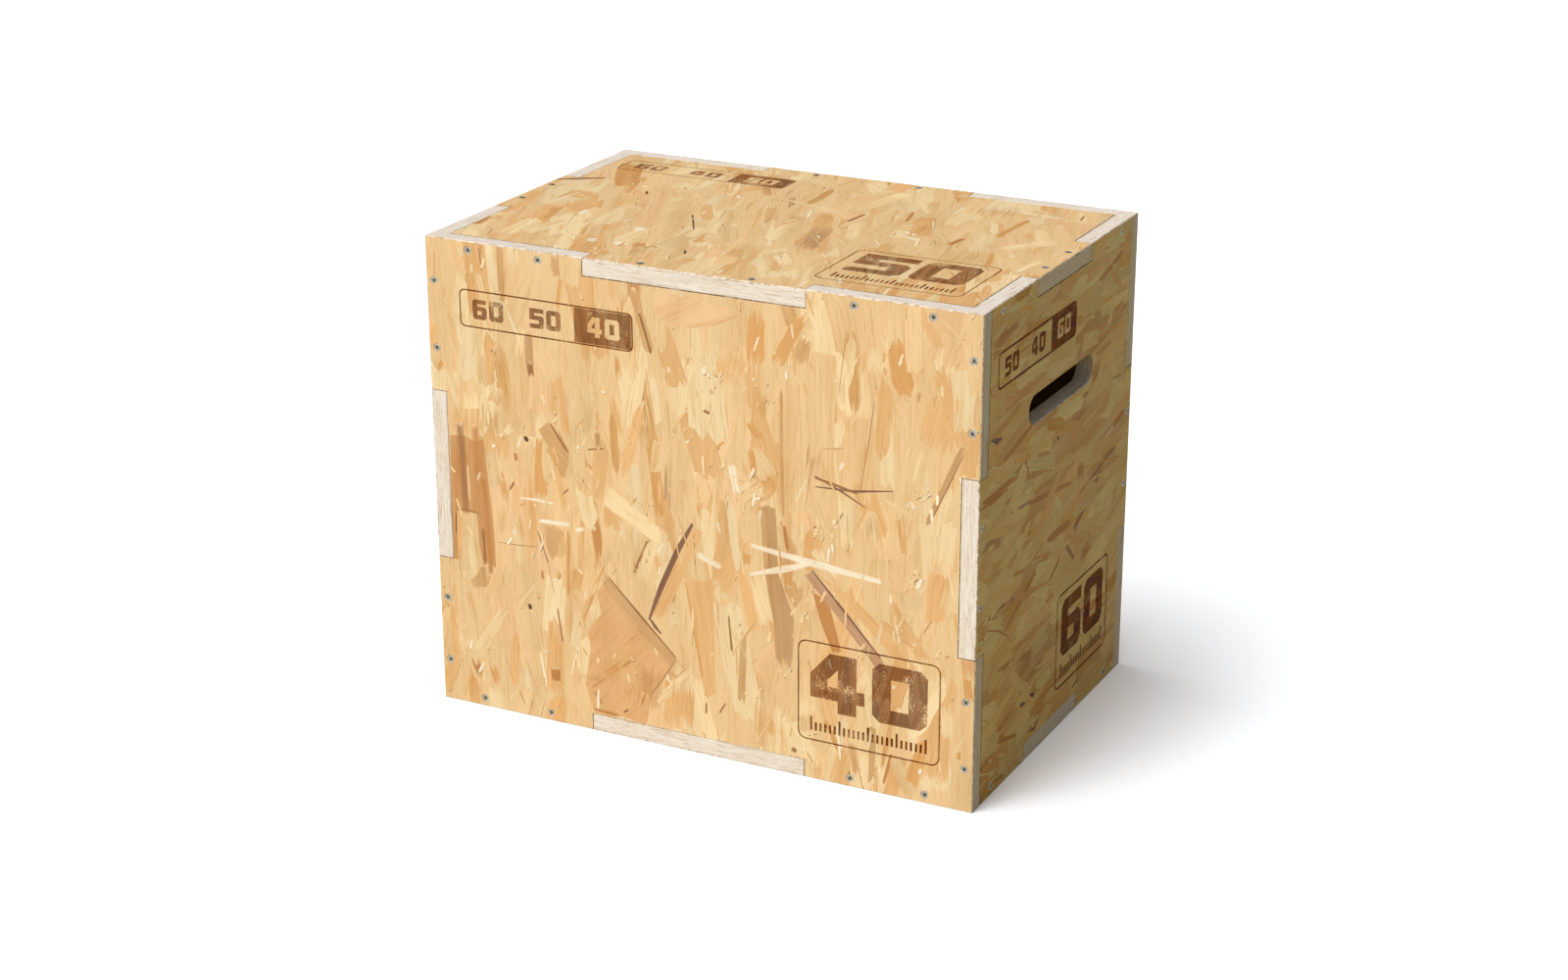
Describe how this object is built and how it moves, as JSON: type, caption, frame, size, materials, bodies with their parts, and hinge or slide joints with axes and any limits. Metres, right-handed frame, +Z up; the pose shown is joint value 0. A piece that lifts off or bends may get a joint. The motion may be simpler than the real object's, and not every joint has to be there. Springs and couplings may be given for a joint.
{
  "type": "plyometric jump box",
  "caption": "Six-sided board box with finger-jointed corners, countersunk screws and a hand slot in each end, turned to give three jump heights.",
  "frame": {"origin": "middle of the underside, on the floor", "axes": "+Z up, +X along the width of the front, front face at -Y"},
  "size_m": [0.6, 0.4, 0.5],
  "materials": {
    "strand_board": "sanded oriented strand board, unsealed",
    "zinc_screw": "zinc plated"
  },
  "bodies": {
    "root": {"front_panel": "strand_board", "back_panel": "strand_board", "left_panel": "strand_board", "right_panel": "strand_board", "top_panel": "strand_board", "bottom_panel": "strand_board", "front_screws": "zinc_screw", "back_screws": "zinc_screw", "left_screws": "zinc_screw", "right_screws": "zinc_screw", "top_screws": "zinc_screw", "bottom_screws": "zinc_screw"}
  },
  "joints": []
}
